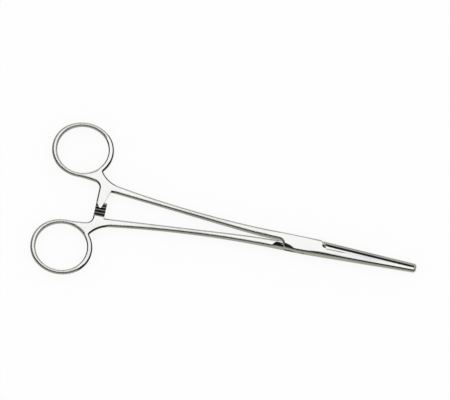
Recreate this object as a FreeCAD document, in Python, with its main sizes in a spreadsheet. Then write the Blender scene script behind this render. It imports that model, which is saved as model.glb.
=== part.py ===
import FreeCAD, Part
import math
import os
import re
import Sketcher

# A straight hemostat, closed and lying on its side.
# The pivot axis is Z, and X runs from the finger rings to the jaw tips.
# Every outline is drawn about the instrument's middle plane, and each body is then lifted by half the box,
# so Z = 0 is the flat underside of the box lock.

# Driving dimensions in millimetres and degrees
SIZES = {
    # finger rings
    "ring_setback": 123.6,  # pivot to ring centre, along the instrument
    "ring_offset": 26.9,  # middle line to ring centre
    "ring_hole_length": 27.2,
    "ring_hole_squash": 1.7,  # how much narrower than long the hole is
    "ring_wall_end": 2.75,
    "ring_wall_side": 2.0,
    # shanks
    "shank_root_gap": 7.4,  # middle line to the corner of shank and upper arm
    "shank_foot_gap": 0.45,  # middle line to the shank's inner edge at the box
    "shank_foot_setback": 9.0,
    "shank_foot_radius": 320.0,  # inner edge's bend at the box, straight beyond it
    "shank_outer_radius": 580.0,
    "shank_blend_setback": 12.0,  # pivot to where the outer sweep meets the box side
    "flare_lead": 22.6,  # ring centre to where the shank starts to flare into the ring
    "flare_radius": 14.5,
    "flare_sweep": 70.0,
    "crotch_radius": 0.8,
    # web between ring and ratchet arm
    "web_corner_radius": 3.3,
    "web_sag": 0.8,  # how far the web's underside drops before its corner
    # ratchet arms
    "arm_lead": 12.9,  # ring centre to the rear sides of the arms
    "upper_arm_root": 6.3,  # length of the upper arm where it leaves the shank
    "upper_arm_reach": 2.3,  # how far the upper arm passes the middle line
    "upper_arm_point_lead": 2.65,  # rear side to the middle of the point
    "upper_arm_point_width": 0.9,
    "upper_arm_shoulder": 1.0,  # where the upper arm starts to narrow to its point
    "lower_arm_reach": 1.0,
    "lower_arm_length": 5.7,
    "arm_heel": 0.4,  # full thickness left between the shank and an arm's step
    "arm_gap": 0.1,
    "tooth_pitch": 1.65,
    "tooth_depth": 0.5,
    "tooth_land": 0.45,
    "tooth_count": 4,
    # box lock
    "box_half_width": 4.3,
    "box_half_height": 2.9,
    "plate_radius": 10.2,  # ends of the slotted plates, about the pivot
    "plate_corner_radius": 2.6,
    "neck_radius": 3.4,
    "neck_half_height": 1.0,
    "neck_side_clearance": 0.15,
    "neck_face_clearance": 0.05,
    "shoulder_clearance": 0.12,
    "shoulder_corner_radius": 2.4,
    "shoulder_half_height": 2.5,
    "opening_angle": 60.0,
    "pin_radius": 1.6,
    "pin_clearance": 0.05,
    # jaws
    "tip_reach": 60.7,
    "tip_half_width": 2.3,
    "tip_corner_radius": 1.5,
    "tip_half_height": 1.4,
    "flank_setback": 3.0,  # behind the pivot, where the box side starts to narrow into the jaw
    "flank_radius": 150.0,
    "jaw_relief": 0.25,  # middle line to each jaw's smooth inner face
    "serration_start": 22.0,
    "serration_pitch": 1.2,
    "serration_depth": 0.4,
    "serration_land": 0.1,
    "serration_gap": 0.1,
    "serration_margin": 1.4,  # smooth length left at the tips
    # side view and edges
    "ring_half_height": 1.4,
    "shank_half_height": 2.15,
    "ramp_start_setback": 26.0,
    "ramp_end_setback": 12.0,
    "brow_reach": 9.0,  # where the jaws start to thin
    "brow_radius": 40.0,
    "ring_flat_lead": 27.6,  # ring centre to where the shank starts to thicken
    "ring_hole_bevel": 0.6,
    "rim_radius": 0.9,  # rounding of the long edges
    "jaw_rim_radius": 1.3,  # the same on the outer side of box and jaws
    "stock": 1.0,  # extra height of the blanks before the side view is cut
    "overcut": 3.0,  # how far a cutting outline runs past what it cuts
}

# Dimensions that follow from the ones above
FOLLOWING = {
    "arm_rear_setback": "ring_setback - arm_lead",
    "shank_root_setback": "arm_rear_setback - upper_arm_root",
    "foot_run": "shank_root_setback - shank_foot_setback",
    "foot_level": "shank_foot_radius - shank_root_gap + shank_foot_gap",
    "foot_distance": "sqrt(foot_run^2 + foot_level^2)",
    "foot_angle": "90 - atan(foot_level / foot_run) / 1deg - acos(shank_foot_radius / foot_distance) / 1deg",
    "shank_bend_setback": "shank_foot_setback + shank_foot_radius * sin(foot_angle)",
    "shank_bend_gap": "shank_foot_gap + shank_foot_radius * (1 - cos(foot_angle))",
    "upper_arm_point_setback": "arm_rear_setback - upper_arm_point_lead",
    "lower_arm_front_setback": "arm_rear_setback - lower_arm_length",
    "flare_setback": "ring_setback - flare_lead",
    "taper_setback": "ring_setback - ring_flat_lead",
    "ring_outer_length": "ring_hole_length + 2 * ring_wall_end",
    "ring_hole_width": "ring_hole_length - ring_hole_squash",
    "ring_outer_width": "ring_hole_width + 2 * ring_wall_side",
    "ring_bottom": "ring_offset - ring_outer_width / 2",
    "ring_far_end": "ring_setback + ring_outer_length / 2 + overcut",
    "web_run": "ring_setback - arm_rear_setback - web_corner_radius",
    "web_radius": "(web_run^2 + (web_corner_radius + web_sag)^2 - web_corner_radius^2) / (2 * web_sag)",
    "web_corner_height": "ring_bottom - web_sag - web_corner_radius",
    "web_join_share": "web_corner_radius / (web_radius - web_corner_radius)",
    "web_join_setback": "arm_rear_setback + web_corner_radius - web_run * web_join_share",
    "web_join_height":
        "web_corner_height + (web_radius - web_corner_radius - web_sag) * web_join_share",
    "flare_run": "flare_setback - shank_blend_setback",
    "flare_rise": "sqrt(shank_outer_radius^2 - flare_run^2)",
    "flare_height": "box_half_width + shank_outer_radius - flare_rise",
    "flare_centre_setback": "flare_setback - flare_radius * flare_run / shank_outer_radius",
    "flare_centre_height": "flare_height + flare_radius * flare_rise / shank_outer_radius",
    "flare_end_setback": "flare_centre_setback + flare_radius * sin(flare_sweep)",
    "flare_end_height": "flare_centre_height - flare_radius * cos(flare_sweep)",
    "plate_half_length": "sqrt(plate_radius^2 - box_half_width^2)",
    "plate_relief_reach": "sqrt(plate_radius^2 - jaw_relief^2)",
    "seat_radius": "plate_radius + shoulder_clearance",
    "shoulder_distance": "seat_radius + shoulder_corner_radius",
    "rear_round_height": "shank_foot_gap + shoulder_corner_radius",
    "rear_round_reach": "sqrt(shoulder_distance^2 - rear_round_height^2)",
    "front_round_height": "jaw_relief + shoulder_corner_radius",
    "front_round_reach": "sqrt(shoulder_distance^2 - front_round_height^2)",
    "seat_share": "seat_radius / shoulder_distance",
    "arm_step": "shank_root_gap - arm_heel",
    "tooth_run": "arm_rear_setback - shank_root_setback + 2 * overcut",
    "slot_radius": "neck_radius + neck_side_clearance",
    "slot_edge_reach": "sqrt(slot_radius^2 - neck_side_clearance^2)",
    "slot_half_height": "neck_half_height + neck_face_clearance",
    "slot_end": "plate_radius + plate_corner_radius",
    "slot_side": "box_half_width + overcut",
    "stop_reach": "slot_radius * sin(opening_angle)",
    "stop_height": "slot_radius * cos(opening_angle)",
    "stop_end_reach": "stop_reach - (slot_side - stop_height) / tan(opening_angle)",
    "neck_flank_reach": "sqrt(seat_radius^2 - neck_radius^2)",
    "neck_cut_reach": "sqrt(seat_radius^2 - slot_side^2)",
    "serration_peak": "(serration_depth - serration_gap) / 2",
    "serration_count": "floor((tip_reach - serration_start - serration_margin) / serration_pitch)",
    "serration_end": "serration_start + serration_pitch * serration_count",
    "flank_run": "tip_reach + flank_setback",
    "flank_level": "flank_radius - box_half_width + tip_half_width",
    "flank_distance": "sqrt(flank_run^2 + flank_level^2)",
    "flank_angle": "90 - atan(flank_level / flank_run) / 1deg - acos(flank_radius / flank_distance) / 1deg",
    "flank_end": "flank_radius * sin(flank_angle) - flank_setback",
    "flank_end_width": "box_half_width - flank_radius * (1 - cos(flank_angle))",
    "thinning_run": "tip_reach - brow_reach",
    "thinning_level": "brow_radius - box_half_height + tip_half_height",
    "thinning_reach": "sqrt(thinning_run^2 + thinning_level^2)",
    "brow_angle":
        "90 - atan(thinning_level / thinning_run) / 1deg - acos(brow_radius / thinning_reach) / 1deg",
    "brow_end": "brow_reach + brow_radius * sin(brow_angle)",
    "brow_end_height": "box_half_height - brow_radius * (1 - cos(brow_angle))",
    "tip_end": "tip_reach + overcut",
    "tip_end_height": "tip_half_height - overcut * tan(brow_angle)",
    "cut_height": "box_half_height + stock + overcut",
}

doc = FreeCAD.newDocument("hemostat_forceps")
sheet = doc.addObject("Spreadsheet::Sheet", "Sizes")
cells = {alias: str(number) for alias, number in SIZES.items()}
cells.update({alias: "=" + formula for alias, formula in FOLLOWING.items()})
for row, (alias, content) in enumerate(cells.items(), start=1):
    sheet.set(f"A{row}", alias.replace("_", " "))
    sheet.set(f"B{row}", content)
    sheet.setAlias(f"B{row}", alias)
doc.recompute()
ALIASES = {alias: "Sizes." + alias for alias in cells}


def value(expression):
    """The number that an expression on the sheet's names gives."""
    return float(sheet.evalExpression(expression))


def bind(target, name, expression):
    """Tie a property or a sketch dimension to an expression on the sheet's names."""
    formula = re.sub("[a-z_]+", lambda word: ALIASES.get(word.group(), word.group()), expression)
    target.setExpression(name, formula)


def origin_feature(body, role):
    return next(feature for feature in body.Origin.OriginFeatures if feature.Role == role)


def new_sketch(body, name, plane="XY_Plane", lift=None):
    """An empty sketch on one of a body's own planes, moved off it by the expression lift."""
    sketch = body.newObject("Sketcher::SketchObject", name)
    sketch.AttachmentSupport = [(origin_feature(body, plane), "")]
    sketch.MapMode = "FlatFace"
    if lift:
        bind(sketch, "AttachmentOffset.Base.z", lift)
    return sketch


def pin_point(sketch, geometry, point, x, y):
    """Hold a point of a sketch at the place that two expressions give."""
    for kind, axis, expression in (("DistanceX", -2, x), ("DistanceY", -1, y)):
        if expression == "0":
            sketch.addConstraint(Sketcher.Constraint("PointOnObject", geometry, point, axis))
        else:
            dimension = Sketcher.Constraint(kind, -1, 1, geometry, point, value(expression))
            bind(sketch, f"Constraints[{sketch.addConstraint(dimension)}]", expression)


def mirrored(expression, side):
    return expression if side > 0 or expression == "0" else f"-({expression})"


def draw(sketch, corners, side=1):
    """A closed outline from its corners (x, y). A corner (x, y, radius, turn) starts an arc.

    Turn 1 bends left and -1 right. With side -1 the outline is mirrored about the middle line."""
    corners = [(corner[0], mirrored(corner[1], side), *corner[2:]) for corner in corners]
    places = [FreeCAD.Vector(value(corner[0]), value(corner[1]), 0) for corner in corners]
    ends = []
    for index, corner in enumerate(corners):
        start, end = places[index], places[(index + 1) % len(places)]
        if len(corner) == 2:
            geometry = sketch.addGeometry(Part.LineSegment(start, end), False)
            ends.append((geometry, 1, 2))
            continue
        radius, turn = value(corner[2]), corner[3] * side
        chord = end - start
        left = FreeCAD.Vector(-chord.y, chord.x, 0).normalize()
        centre = (start + end) / 2 + left * turn * math.sqrt(radius**2 - (chord.Length / 2) ** 2)
        angles = [math.atan2(place.y - centre.y, place.x - centre.x) for place in (start, end)]
        circle = Part.Circle(centre, FreeCAD.Vector(0, 0, 1), radius)
        geometry = sketch.addGeometry(Part.ArcOfCircle(circle, *angles[::turn]), False)
        dimension = sketch.addConstraint(Sketcher.Constraint("Radius", geometry, radius))
        bind(sketch, f"Constraints[{dimension}]", corner[2])
        ends.append((geometry, 1, 2) if turn > 0 else (geometry, 2, 1))
    for index, corner in enumerate(corners):
        geometry, start, _ = ends[index]
        before, _, end = ends[index - 1]
        sketch.addConstraint(Sketcher.Constraint("Coincident", before, end, geometry, start))
        pin_point(sketch, geometry, start, corner[0], corner[1])


def draw_circle(sketch, radius):
    """A circle about the pivot."""
    circle = Part.Circle(FreeCAD.Vector(), FreeCAD.Vector(0, 0, 1), value(radius))
    geometry = sketch.addGeometry(circle, False)
    sketch.addConstraint(Sketcher.Constraint("Coincident", geometry, 3, -1, 1))
    dimension = sketch.addConstraint(Sketcher.Constraint("Radius", geometry, value(radius)))
    bind(sketch, f"Constraints[{dimension}]", radius)


def bevel_hole(body, name, side):
    """Break the upper and lower edges of the ring's hole."""
    edges = []
    for number, edge in enumerate(body.Shape.Edges, start=1):
        middle = edge.valueAt((edge.FirstParameter + edge.LastParameter) / 2)
        if edge.BoundBox.ZLength < 0.01 and in_ring_hole(middle.x, side * middle.y):
            edges.append(f"Edge{number}")
    bevel = body.newObject("PartDesign::Chamfer", name + "HoleBevel")
    bevel.Base = (bevel.BaseFeature, edges)
    bind(bevel, "Size", "ring_hole_bevel")
    doc.recompute()


def oval(x, y, length, width):
    """Corners of an oval of four tangent arcs whose long axis lies along X."""
    half, rise = f"({length} / 2)", f"({width} / 2)"
    end = f"(({rise}^2 / {half} + {rise}) / 2)"
    flat = f"(({half}^2 + {rise}^2 - 2 * {half} * {end}) / (2 * ({rise} - {end})))"
    across = f"{flat} * ({half} - {end}) / ({flat} - {end})"
    up = f"({flat} - {rise}) * {end} / ({flat} - {end})"
    return [
        (f"{x} + {across}", f"{y} + {up}", flat, 1),
        (f"{x} - {across}", f"{y} + {up}", end, 1),
        (f"{x} - {across}", f"{y} - {up}", flat, 1),
        (f"{x} + {across}", f"{y} - {up}", end, 1),
    ]


def add_pad(body, sketch, height):
    """Material both ways from a sketch, so that its whole thickness is height."""
    pad = body.newObject("PartDesign::Pad", sketch.Name + "Pad")
    pad.Profile = sketch
    pad.SideType = "Symmetric"
    bind(pad, "Length", height)
    pad.Refine = True
    doc.recompute()
    return pad


def add_pocket(body, sketch, length=None, along=None):
    """Cut a sketch through the body both ways, over one length both ways, or one way if along is set.

    A cut with along True follows the sketch plane's own direction, and with False it goes against it."""
    before = body.Shape.Volume
    pocket = body.newObject("PartDesign::Pocket", sketch.Name + "Pocket")
    pocket.Profile = sketch
    pocket.Refine = True
    if along is None:
        pocket.SideType = "Symmetric"
    else:
        pocket.Reversed = along
    if length:
        bind(pocket, "Length", length)
    else:
        pocket.Type = "ThroughAll"
    doc.recompute()
    if body.Shape.Volume >= before:
        raise SystemExit(f"{pocket.Name} cuts nothing")
    return pocket


def repeat(body, feature, axis, spacing, count, reverse=False):
    """Copies of a cut along one of the body's axes."""
    pattern = body.newObject("PartDesign::LinearPattern", feature.Name + "Row")
    pattern.Originals = [feature]
    pattern.Direction = (origin_feature(body, axis), [""])
    pattern.Reversed = reverse
    pattern.Mode = "Spacing"
    bind(pattern, "Offset", spacing)
    bind(pattern, "Occurrences", count)
    body.Tip = pattern
    doc.recompute()


def upright_edges(body, x, y, side):
    """Names of the edges parallel to Z that stand nearest to a place."""
    place = FreeCAD.Vector(value(x), side * value(y), 0)
    found = []
    for number, edge in enumerate(body.Shape.Edges, start=1):
        box = edge.BoundBox
        if math.hypot(box.XLength, box.YLength) < 0.01:
            found.append((math.hypot(box.Center.x - place.x, box.Center.y - place.y), f"Edge{number}"))
    nearest = min(found)[0]
    return [name for distance, name in found if distance < nearest + 0.01]


def in_ring_hole(x, y):
    """Whether a place lies inside the ring's middle oval."""
    reach = value("ring_outer_width + ring_hole_width") / 4
    return math.hypot(x + value("ring_setback"), y - value("ring_offset")) < reach


def rim_edges(body, side, on_jaw_side):
    """Names of the edges to round, between the upright walls and the upper and lower faces.

    Those on the jaw's side are the outer ones of box and jaw, and are rounder than the rest. The ring's
    hole has bevels of its own. The ratchet arms, the front ends of the box plates and the jaws' inner
    faces keep their sharp edges."""
    found = []
    for number, edge in enumerate(body.Shape.Edges, start=1):
        middle = edge.valueAt((edge.FirstParameter + edge.LastParameter) / 2)
        across = side * middle.y
        tilts = []
        for face in body.Shape.ancestorsOfType(edge, Part.Face):
            tilts.append(abs(face.normalAt(*face.Surface.parameter(middle)).z))
        if len(tilts) < 2 or min(tilts) > 0.01 or max(tilts) < 0.7 or in_ring_hole(middle.x, across):
            continue
        jaw_side = middle.x > -value("plate_half_length") and across < -value("rim_radius") / 2
        on_arm = value("-arm_rear_setback + arm_gap") < middle.x < value("-shank_root_setback")
        long_edge = middle.x < 0 and not (on_arm and across < value("shank_root_gap"))
        if jaw_side == on_jaw_side and (jaw_side or long_edge):
            found.append(f"Edge{number}")
    return found


def round_edges(body, name, edges, radius):
    fillet = body.newObject("PartDesign::Fillet", name)
    fillet.Base = (fillet.BaseFeature, edges)
    bind(fillet, "Radius", radius)
    doc.recompute()
    return fillet


def handle_outline(arm):
    """Shank, web and ratchet arm of the half whose ring lies on the upper side."""
    return [
        ("0", "shank_foot_gap"),
        ("-shank_foot_setback", "shank_foot_gap", "shank_foot_radius", -1),
        ("-shank_bend_setback", "shank_bend_gap"),
        *arm,
        ("-arm_rear_setback", "web_corner_height", "web_corner_radius", 1),
        ("-web_join_setback", "web_join_height", "web_radius", 1),
        ("-ring_setback", "ring_bottom"),
        ("-ring_setback", "ring_offset"),
        ("-flare_end_setback", "flare_end_height", "flare_radius", 1),
        ("-flare_setback", "flare_height", "shank_outer_radius", 1),
        ("-shank_blend_setback", "box_half_width"),
        ("0", "box_half_width"),
    ]


UPPER_ARM = [
    ("-shank_root_setback", "shank_root_gap"),
    ("-upper_arm_point_setback + upper_arm_point_width / 2", "-upper_arm_reach"),
    ("-upper_arm_point_setback - upper_arm_point_width / 2", "-upper_arm_reach"),
    ("-arm_rear_setback", "upper_arm_shoulder"),
]
LOWER_ARM = [
    ("-lower_arm_front_setback", "shank_root_gap"),
    ("-lower_arm_front_setback", "-lower_arm_reach"),
    ("-arm_rear_setback", "-lower_arm_reach"),
]
BOX_OUTLINE = [
    ("-flank_setback", "-box_half_width"),
    ("-flank_setback", "-jaw_relief"),
    ("plate_relief_reach", "-jaw_relief", "plate_radius", 1),
    ("plate_half_length", "box_half_width"),
    ("-plate_half_length", "box_half_width", "plate_radius", 1),
    ("-plate_half_length", "-box_half_width"),
]


def jaw_outline(block_start, block_end):
    """A jaw with its inner face up.

    The face is smooth beside the box and stands higher where it is toothed."""
    return [
        ("-flank_setback", "-box_half_width", "flank_radius", 1),
        ("flank_end", "-flank_end_width"),
        ("tip_reach", "-tip_half_width"),
        *block_end,
        (block_start, "serration_peak"),
        (block_start, "-jaw_relief"),
        ("-flank_setback", "-jaw_relief"),
    ]


UPRIGHT_ROUNDS = [
    ("Crotch", "-flare_end_setback", "flare_end_height - ring_wall_side", "crotch_radius"),
    ("TipCorner", "tip_reach", "-tip_half_width", "tip_corner_radius"),
]


def side_view(body, name, near_x, far_x, corners):
    """Cut the blank to its side view, above and below the middle plane alike.

    The corners run along the upper face from near_x to far_x, as X and height."""
    for suffix, level in (("Top", 1), ("Bottom", -1)):
        sketch = new_sketch(body, name + suffix, "XZ_Plane")
        loop = [*corners, (far_x, "cut_height"), (near_x, "cut_height")]
        draw(sketch, loop, level)
        add_pocket(body, sketch)


def rear_face(shoulder_height):
    """Upper face from the ring's far end to the box: level, a long taper, a short ramp, level."""
    return [
        ("-ring_far_end", "ring_half_height"),
        ("-taper_setback", "ring_half_height"),
        ("-ramp_start_setback", "shank_half_height"),
        ("-ramp_end_setback", shoulder_height),
        ("0", "box_half_height"),
    ]


FRONT_FACE = [
    ("0", "box_half_height"),
    ("brow_reach", "box_half_height", "brow_radius", -1),
    ("brow_end", "brow_end_height"),
    ("tip_end", "tip_end_height"),
]


ARM_STEP = [
    ("-arm_rear_setback - overcut", "arm_step"),
    ("-arm_rear_setback - overcut", "-upper_arm_reach - overcut"),
    ("-shank_root_setback + arm_heel", "-upper_arm_reach - overcut"),
    ("-shank_root_setback + arm_heel", "arm_step"),
]
SLOT = [
    ("-slot_end", "neck_side_clearance"),
    ("-slot_edge_reach", "neck_side_clearance", "slot_radius", -1),
    ("-stop_reach", "stop_height"),
    ("-stop_end_reach", "slot_side"),
    ("slot_end", "slot_side"),
    ("slot_end", "-neck_side_clearance"),
    ("slot_edge_reach", "-neck_side_clearance", "slot_radius", -1),
    ("stop_reach", "-stop_height"),
    ("stop_end_reach", "-slot_side"),
    ("-slot_end", "-slot_side"),
]
SEAT = [
    ("-rear_round_reach", "shank_foot_gap", "shoulder_corner_radius", -1),
    ("-rear_round_reach * seat_share", "rear_round_height * seat_share", "seat_radius", -1),
    ("seat_radius", "0"),
    ("front_round_reach", "0"),
    ("front_round_reach", "-jaw_relief", "shoulder_corner_radius", -1),
    ("front_round_reach * seat_share", "-front_round_height * seat_share", "seat_radius", -1),
    ("-seat_radius", "0"),
    ("-rear_round_reach", "0"),
]
NECK_FLANK = [
    ("-neck_flank_reach", "-neck_radius"),
    ("0", "-neck_radius", "neck_radius", 1),
    ("neck_radius", "0"),
    ("slot_end", "0"),
    ("slot_end", "-slot_side"),
    ("-neck_cut_reach", "-slot_side", "seat_radius", -1),
]


def turn_about(corner, turned):
    """A corner of an outline, or with -1 the one opposite it through the pivot."""
    return (mirrored(corner[0], turned), mirrored(corner[1], turned), *corner[2:])


PLATE_ROUNDS = [
    ("RearPlateCorner", "-plate_radius", "shank_foot_gap", "plate_corner_radius"),
    ("FrontPlateCorner", "plate_radius", "-jaw_relief", "plate_corner_radius"),
]


def forge(name, side, arm, jaw, shoulder_height, rounds):
    """The plain forging of one half: ring, shank, arm, box and jaw, with its edges rounded."""
    body = doc.addObject("PartDesign::Body", name)
    body.Label = name
    bind(body, "Placement.Base.z", "box_half_height")
    blank_height = "2 * (box_half_height + stock)"
    ring = ("-ring_setback", "ring_offset", "ring_outer_length", "ring_outer_width")
    hole = ("-ring_setback", "ring_offset", "ring_hole_length", "ring_hole_width")
    outlines = (("Handle", handle_outline(arm)), ("Box", BOX_OUTLINE), ("Jaw", jaw), ("Ring", oval(*ring)))
    for part, corners in outlines:
        sketch = new_sketch(body, name + part)
        draw(sketch, corners, side)
        add_pad(body, sketch, blank_height)
    opening = new_sketch(body, name + "RingHole")
    draw(opening, oval(*hole), side)
    add_pocket(body, opening)

    for corner, x, y, radius in rounds:
        round_edges(body, name + corner, upright_edges(body, x, y, side), radius)
    side_view(body, name + "Rear", "-ring_far_end", "0", rear_face(shoulder_height))
    side_view(body, name + "Front", "0", "tip_end", FRONT_FACE)
    bevel_hole(body, name, side)

    round_edges(body, name + "JawRim", rim_edges(body, side, True), "jaw_rim_radius")
    round_edges(body, name + "Rim", rim_edges(body, side, False), "rim_radius")
    step = new_sketch(body, name + "ArmStep", lift=mirrored("arm_gap / 2", side))
    draw(step, ARM_STEP, side)
    add_pocket(body, step, along=side < 0)
    return body


def cut_teeth(body, side, first):
    """The ratchet teeth of an arm, in its inner face. Their steep walls face the arm's own ring and hold."""
    sketch = new_sketch(body, body.Name + "Tooth", "YZ_Plane", "-arm_rear_setback - overcut")
    level = mirrored("arm_gap / 2", side)
    root = mirrored("arm_gap / 2 + tooth_depth", side)
    corners = [(first, level), (first + " + tooth_pitch - tooth_land", level), (first, root)]
    draw(sketch, [(mirrored(across, side), height) for across, height in corners])
    tooth = add_pocket(body, sketch, "tooth_run", along=True)
    repeat(body, tooth, "Y_Axis", "tooth_pitch", "tooth_count", reverse=side < 0)


def cut_serrations(body, side, start, count):
    """The cross serrations of a jaw."""
    sketch = new_sketch(body, body.Name + "Serration")
    groove = [
        (f"{start} + serration_land / 2", "serration_peak"),
        (f"{start} + serration_pitch / 2", "serration_peak - serration_depth"),
        (f"{start} + serration_pitch - serration_land / 2", "serration_peak"),
    ]
    draw(sketch, groove, side)
    serration = add_pocket(body, sketch)
    repeat(body, serration, "X_Axis", "serration_pitch", count)


def bore(body, radius):
    sketch = new_sketch(body, body.Name + "Bore")
    draw_circle(sketch, radius)
    add_pocket(body, sketch)


box_half = forge(
    "box_half",
    1,
    UPPER_ARM,
    jaw_outline("serration_start - serration_land / 2", [("tip_reach", "serration_peak")]),
    "box_half_height",
    UPRIGHT_ROUNDS + PLATE_ROUNDS,
)
slot = new_sketch(box_half, "box_halfSlot")
draw(slot, SLOT)
add_pocket(box_half, slot, "2 * slot_half_height")
bore(box_half, "pin_radius")
cut_teeth(box_half, 1, "-tooth_pitch")
cut_serrations(box_half, 1, "serration_start", "serration_count")

male_start = "serration_start + serration_pitch / 2"
male_end = "serration_end - serration_pitch / 2 + serration_land / 2"
male_half = forge(
    "male_half",
    -1,
    LOWER_ARM,
    jaw_outline(
        f"{male_start} - serration_land / 2",
        [("tip_reach", "-jaw_relief"), (male_end, "-jaw_relief"), (male_end, "serration_peak")],
    ),
    "shoulder_half_height",
    UPRIGHT_ROUNDS,
)
for suffix, level, along in (("Top", "neck_half_height", True), ("Bottom", "-neck_half_height", False)):
    seat = new_sketch(male_half, "male_halfSeat" + suffix, lift=level)
    draw(seat, SEAT, -1)
    add_pocket(male_half, seat, along=along)
for suffix, turned in (("Lower", 1), ("Upper", -1)):
    flank = new_sketch(male_half, "male_half" + suffix + "Flank")
    draw(flank, [turn_about(corner, turned) for corner in NECK_FLANK], 1)
    add_pocket(male_half, flank)
bore(male_half, "pin_radius + pin_clearance")
cut_teeth(male_half, -1, "0")
cut_serrations(male_half, -1, male_start, "serration_count - 1")

pivot_pin = doc.addObject("Part::Cylinder", "pivot_pin")
pivot_pin.Label = "pivot_pin"
bind(pivot_pin, "Radius", "pin_radius")
bind(pivot_pin, "Height", "2 * box_half_height")
doc.recompute()

for item in doc.Objects:
    if "Invalid" in item.State or "Error" in item.State:
        raise SystemExit(f"{item.Name} does not build")
os.makedirs("parts", exist_ok=True)
for node in (box_half, male_half, pivot_pin):
    if node.Shape.isNull() or not node.Shape.isValid():
        raise SystemExit(f"{node.Label} has no sound shape")
    node.Shape.exportStep(f"parts/{node.Label}.step")
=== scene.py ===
import math

import bpy
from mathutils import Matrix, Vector

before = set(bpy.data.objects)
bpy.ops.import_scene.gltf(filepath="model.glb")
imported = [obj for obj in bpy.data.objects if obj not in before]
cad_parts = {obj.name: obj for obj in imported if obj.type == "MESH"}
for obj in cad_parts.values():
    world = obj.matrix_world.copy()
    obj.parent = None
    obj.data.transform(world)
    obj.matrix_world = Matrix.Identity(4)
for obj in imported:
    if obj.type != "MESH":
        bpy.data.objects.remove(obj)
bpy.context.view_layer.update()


# a node socket that takes part in Python sums
class Wire:
    def __init__(self, tree, socket):
        self.tree = tree
        self.socket = socket

    def maths(self, operation, *others, turned=False):
        values = [*others, self] if turned else [self, *others]
        return self.tree.node("ShaderNodeMath", {"operation": operation}, dict(enumerate(values)))

    def size(self):
        return self.maths("ABSOLUTE")

    def __add__(self, other):
        return self.maths("ADD", other)

    def __radd__(self, other):
        return self.maths("ADD", other, turned=True)

    def __sub__(self, other):
        return self.maths("SUBTRACT", other)

    def __rsub__(self, other):
        return self.maths("SUBTRACT", other, turned=True)

    def __mul__(self, other):
        return self.maths("MULTIPLY", other)

    def __rmul__(self, other):
        return self.maths("MULTIPLY", other, turned=True)

    def __pow__(self, other):
        return self.maths("POWER", other)


class NodeTree:
    def __init__(self, owner):
        owner.use_nodes = True
        self.tree = owner.node_tree
        self.tree.nodes.clear()

    # settings go first, because some of them change which sockets there are
    def node(self, kind, settings=None, inputs=None, output=0):
        made = self.tree.nodes.new(kind)
        for name, value in (settings or {}).items():
            if name == "stops":
                ramp = made.color_ramp
                while len(ramp.elements) < len(value):
                    ramp.elements.new(0.5)
                for element, (place, colour) in zip(ramp.elements, value):
                    element.position = place
                    element.color = (*colour, 1.0)
            else:
                setattr(made, name, value)
        for name, value in (inputs or {}).items():
            if isinstance(value, Wire):
                self.tree.links.new(value.socket, made.inputs[name])
            else:
                made.inputs[name].default_value = value
        return Wire(self, made.outputs[output]) if made.outputs else None

    def mix(self, share, first, second):
        inputs = {0: share, 6: first, 7: second}
        return self.node("ShaderNodeMix", {"data_type": "RGBA"}, inputs, output=2)

    def smooth(self, value, low, high):
        inputs = {0: value, 1: low, 2: high}
        return self.node("ShaderNodeMapRange", {"interpolation_type": "SMOOTHSTEP"}, inputs)

    def axis(self, vector, number):
        return self.node("ShaderNodeSeparateXYZ", None, {0: vector}, output=number)


# polished stainless steel: colours, and sizes in metres
steel = {
    "colour": (0.86, 0.86, 0.85, 1.0),
    "shade": (0.74, 0.75, 0.75, 1.0),
    "shadeRange": (0.45, 0.75),
    "roughness": 0.09,
    "markRoughness": 0.10,
    "cloudRoughness": 0.06,
    "cloudScale": 45.0,
    "markLength": 0.004,  # fine polishing marks along the instrument
    "markWidth": 0.00012,
    "markDepth": 0.000002,
    "waveSize": 0.009,  # what polishing by hand left uneven
    "waveDepth": 0.000012,
    "crownRadius": 0.0130,  # the near half of the jaws' faces is a little round
    "crownReach": (-0.014, 0.013),
    "crownEdge": 0.0005,  # how far it fades out on each side of the middle line
    "boxCrown": 2.1,  # how much rounder it is at the rear of the box
    "boxReach": (-0.0165, -0.0125, -0.0015),
    "facetSlope": 0.335,  # the far half has a flat ground facet
    "facetEdge": (0.0014, -0.030),  # its inner edge at the pivot, and how that closes in towards the tips
    "facetBlend": 0.0006,
    "facetReach": (-0.003, 0.016),
    "toothShade": (0.05, 0.05, 0.05, 1.0),  # painted shade: near-black base colour on the flanks of the ratchet teeth
    "toothShadeSlope": (0.95, 0.99),
    "toothShadeUp": (0.1, 0.3),
    "innerShade": 0.8,  # and painted shade on their faces between the arms
    "innerMiddle": 0.0029,
    "innerHeight": (0.0009, 0.0011),  # up to how far above and below the middle
    "ringEdge": 0.0015,  # how far in from their edges the rings and shanks look rounded
    "ringSamples": 8,
    "shankStart": (0.014, 0.020),  # where they start and end, behind the pivot
    "shankEnd": (0.1015, 0.1035),
    "ringStart": (0.1115, 0.1135),
}


# how far the jaws' faces are from flat
def crownHeight(tree, along, across):
    start, full, end = steel["boxReach"]
    atBox = tree.smooth(along, start, full) * (1 - tree.smooth(along, full, end))
    onJaw = tree.smooth(along, *steel["crownReach"])
    near = (onJaw + steel["boxCrown"] * atBox) * (-0.5 / steel["crownRadius"])
    sides = {0: across, 1: -steel["crownEdge"], 2: steel["crownEdge"], 3: near, 4: 0.0}
    bend = tree.node("ShaderNodeMapRange", None, sides)
    edge, closing = steel["facetEdge"]
    facet = (across - (edge + closing * along)).maths("SMOOTH_MAX", 0.0, steel["facetBlend"])
    slope = tree.smooth(along, *steel["facetReach"]) * (-steel["facetSlope"])
    return across**2.0 * bend + facet * slope


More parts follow.
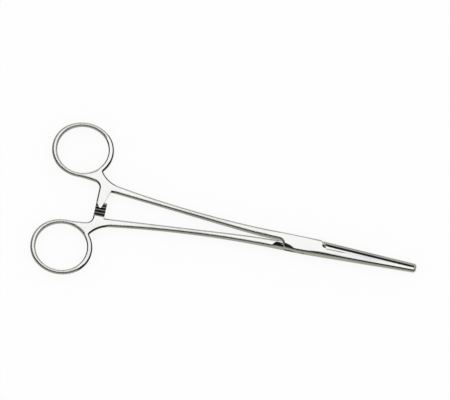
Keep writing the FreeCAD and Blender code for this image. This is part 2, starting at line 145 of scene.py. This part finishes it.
def makeSteel():
    material = bpy.data.materials.new("polishedSteel")
    tree = NodeTree(material)
    place = tree.node("ShaderNodeTexCoord", output=3)
    scale = (1 / steel["markLength"], 1 / steel["markWidth"], 1 / steel["markWidth"])
    stretched = tree.node("ShaderNodeVectorMath", {"operation": "MULTIPLY"}, {0: place, 1: scale})
    marks = tree.node("ShaderNodeTexNoise", None, {"Vector": stretched, "Scale": 1.0, "Detail": 3.0})
    wave = tree.node(
        "ShaderNodeTexNoise", None, {"Vector": place, "Scale": 1 / steel["waveSize"], "Detail": 2.0}
    )
    cloud = tree.node(
        "ShaderNodeTexNoise",
        None,
        {"Vector": place, "Scale": steel["cloudScale"], "Detail": 4.0, "Roughness": 0.6},
    )
    roughness = (
        steel["roughness"]
        + steel["markRoughness"] * (marks - 0.5)
        + steel["cloudRoughness"] * (cloud - 0.5)
    )
    bright = tree.mix(tree.smooth(cloud, *steel["shadeRange"]), steel["colour"], steel["shade"])
    along, across, height = [tree.axis(place, number) for number in range(3)]
    back = 0 - along

    # the shape that light sees: rounded rings and shanks, crowned jaws, waves and fine marks
    rounded = tree.node(
        "ShaderNodeBevel", {"samples": steel["ringSamples"]}, {"Radius": steel["ringEdge"]}
    )
    plain = tree.node("ShaderNodeNewGeometry", output=1)
    onShank = tree.smooth(back, *steel["shankStart"]) * (1 - tree.smooth(back, *steel["shankEnd"]))
    onRing = tree.smooth(back, *steel["ringStart"])
    softEdge = tree.node(
        "ShaderNodeMix", {"data_type": "VECTOR"}, {0: onShank + onRing, 4: plain, 5: rounded}, output=1
    )
    uneven = crownHeight(tree, along, across) + steel["waveDepth"] * wave
    broad = {"Height": uneven, "Distance": 1.0, "Strength": 1.0, "Normal": softEdge}
    shape = tree.node("ShaderNodeBump", None, broad)
    narrow = {"Height": marks, "Distance": steel["markDepth"], "Strength": 1.0, "Normal": shape}
    fine = tree.node("ShaderNodeBump", None, narrow)

    # painted shade: the ratchet teeth and the faces between the arms darkened in the base colour, where shade
    # falls
    upright = tree.axis(plain, 2).size()
    onArm = tree.smooth(back, *steel["shankEnd"]) * (1 - tree.smooth(back, *steel["ringStart"]))
    flank = 1 - tree.smooth(upright, *steel["toothShadeSlope"])
    faceUp = tree.smooth(upright, *steel["toothShadeUp"])
    inner = 1 - tree.smooth((height - steel["innerMiddle"]).size(), *steel["innerHeight"])
    shadedTeeth = onArm * (flank * faceUp).maths("MAXIMUM", steel["innerShade"] * inner)
    # the painted shade is mixed into the steel's colour here
    colour = tree.mix(shadedTeeth, bright, steel["toothShade"])

    surface = tree.node(
        "ShaderNodeBsdfPrincipled",
        None,
        {"Base Color": colour, "Metallic": 1.0, "Roughness": roughness, "Normal": fine},
    )
    tree.node("ShaderNodeOutputMaterial", None, {"Surface": surface})
    return material


polishedSteel = makeSteel()
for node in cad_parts.values():
    for slot in node.material_slots:
        slot.material = polishedSteel
print("steel: fine marks along the instrument on every piece")


# the pale table, and what polished metal sees of it
table = {
    "size": 1.6,
    "drop": 0.0002,
    "colour": (0.96, 0.96, 0.96, 1.0),
    "seen": (1.0, 1.0, 1.0, 1.0),
    "shadow": 0.12,  # how much of the instrument's shadow shows
    "mirrored": (0.40, 0.41, 0.34, 1.0),
}


def makeTable():
    half = table["size"] / 2
    corners = [(-half, -half), (half, -half), (half, half), (-half, half)]
    mesh = bpy.data.meshes.new("table")
    mesh.from_pydata([(x, y, -table["drop"]) for x, y in corners], [], [(0, 1, 2, 3)])
    material = bpy.data.materials.new("paleTable")
    tree = NodeTree(material)
    lit = tree.node("ShaderNodeBsdfDiffuse", None, {"Color": table["colour"]})
    seen = tree.node("ShaderNodeEmission", None, {"Color": table["seen"]})
    mirrored = tree.node("ShaderNodeEmission", None, {"Color": table["mirrored"]})
    isCamera = tree.node("ShaderNodeLightPath", output=0)
    isGlossy = tree.node("ShaderNodeLightPath", output=3)
    plain = tree.node("ShaderNodeMixShader", None, {0: isCamera * (1 - table["shadow"]), 1: lit, 2: seen})
    surface = tree.node("ShaderNodeMixShader", None, {0: isGlossy, 1: plain, 2: mirrored})
    tree.node("ShaderNodeOutputMaterial", None, {"Surface": surface})
    mesh.materials.append(material)
    thing = bpy.data.objects.new("table", mesh)
    bpy.context.scene.collection.objects.link(thing)


makeTable()

# the room: a round white lamp overhead and a little behind, dark about it, pale walls, and white for the camera
room = {
    "level": 0.95,
    "lamp": (1.13, 1.13, 1.13),
    "dark": (0.008, 0.008, 0.009),
    "lampTowards": (0.054, 0.354, 0.934),
    "lampEdge": (0.891, 0.924),  # cosines of the angles where it ends and where it is full
    "seen": (1.0, 1.0, 1.0),
    "nearWall": (0.26, 0.26, 0.25),  # the walls low down, nearer and further than the instrument
    "farWall": (0.62, 0.62, 0.60),
    "wallTurn": (0.0, 0.5),  # where one passes into the other
    "wallEdge": (0.08, 0.14, 0.46, 0.60),  # sines of the heights where they start, are full, and end
}


def makeRoom():
    world = bpy.data.worlds.new("room")
    bpy.context.scene.world = world
    tree = NodeTree(world)
    direction = tree.node("ShaderNodeTexCoord", output=0)
    middle = Vector(room["lampTowards"]).normalized()
    towards = tree.node(
        "ShaderNodeVectorMath", {"operation": "DOT_PRODUCT"}, {0: direction, 1: middle}, output=1
    )
    start, full, fade, end = room["wallEdge"]
    away, height = [tree.axis(direction, number) for number in (1, 2)]
    onWall = tree.smooth(height, start, full) * (1 - tree.smooth(height, fade, end))
    dark, lamp, white = [(*room[name], 1.0) for name in ("dark", "lamp", "seen")]
    nearWall, farWall = [(*room[name], 1.0) for name in ("nearWall", "farWall")]
    wall = tree.mix(tree.smooth(away, *room["wallTurn"]), nearWall, farWall)
    around = tree.mix(onWall, dark, wall)
    mirrored = tree.mix(tree.smooth(towards, *room["lampEdge"]), around, lamp)
    isGlossy = tree.node("ShaderNodeLightPath", output=3)
    colour = tree.mix(isGlossy, white, mirrored)
    isCamera = tree.node("ShaderNodeLightPath", output=0)
    strength = room["level"] + isCamera * (1 - room["level"])
    shade = tree.node("ShaderNodeBackground", None, {"Color": colour, "Strength": strength})
    tree.node("ShaderNodeOutputWorld", None, {"Surface": shade})


makeRoom()
print("room: table, white lamp overhead, dark about it, pale walls")

camera = {
    "target": (-0.0449, 0.0157, 0.0029),
    "turn": 11.945,  # degrees, how far the instrument is turned in the picture
    "tilt": 15.0,  # degrees from straight down
    "distance": 4.0,
    "width": 0.2362,  # what the picture's width covers at the target
    "sensor": 36.0,
    "clip": (0.05, 10.0),
}


def makeCamera():
    data = bpy.data.cameras.new("camera")
    data.sensor_fit = "HORIZONTAL"
    data.sensor_width = camera["sensor"]
    data.lens = camera["sensor"] * camera["distance"] / camera["width"]
    data.clip_start, data.clip_end = camera["clip"]
    thing = bpy.data.objects.new("camera", data)
    turn, tilt = math.radians(camera["turn"]), math.radians(camera["tilt"])
    lean = math.sin(tilt)
    away = Vector((lean * math.sin(turn), -lean * math.cos(turn), math.cos(tilt)))
    thing.location = Vector(camera["target"]) + camera["distance"] * away
    thing.rotation_euler = (-away).to_track_quat("-Z", "Y").to_euler()
    bpy.context.scene.collection.objects.link(thing)
    bpy.context.scene.camera = thing


makeCamera()
bpy.context.scene.view_settings.view_transform = "Standard"
print("camera: in place")
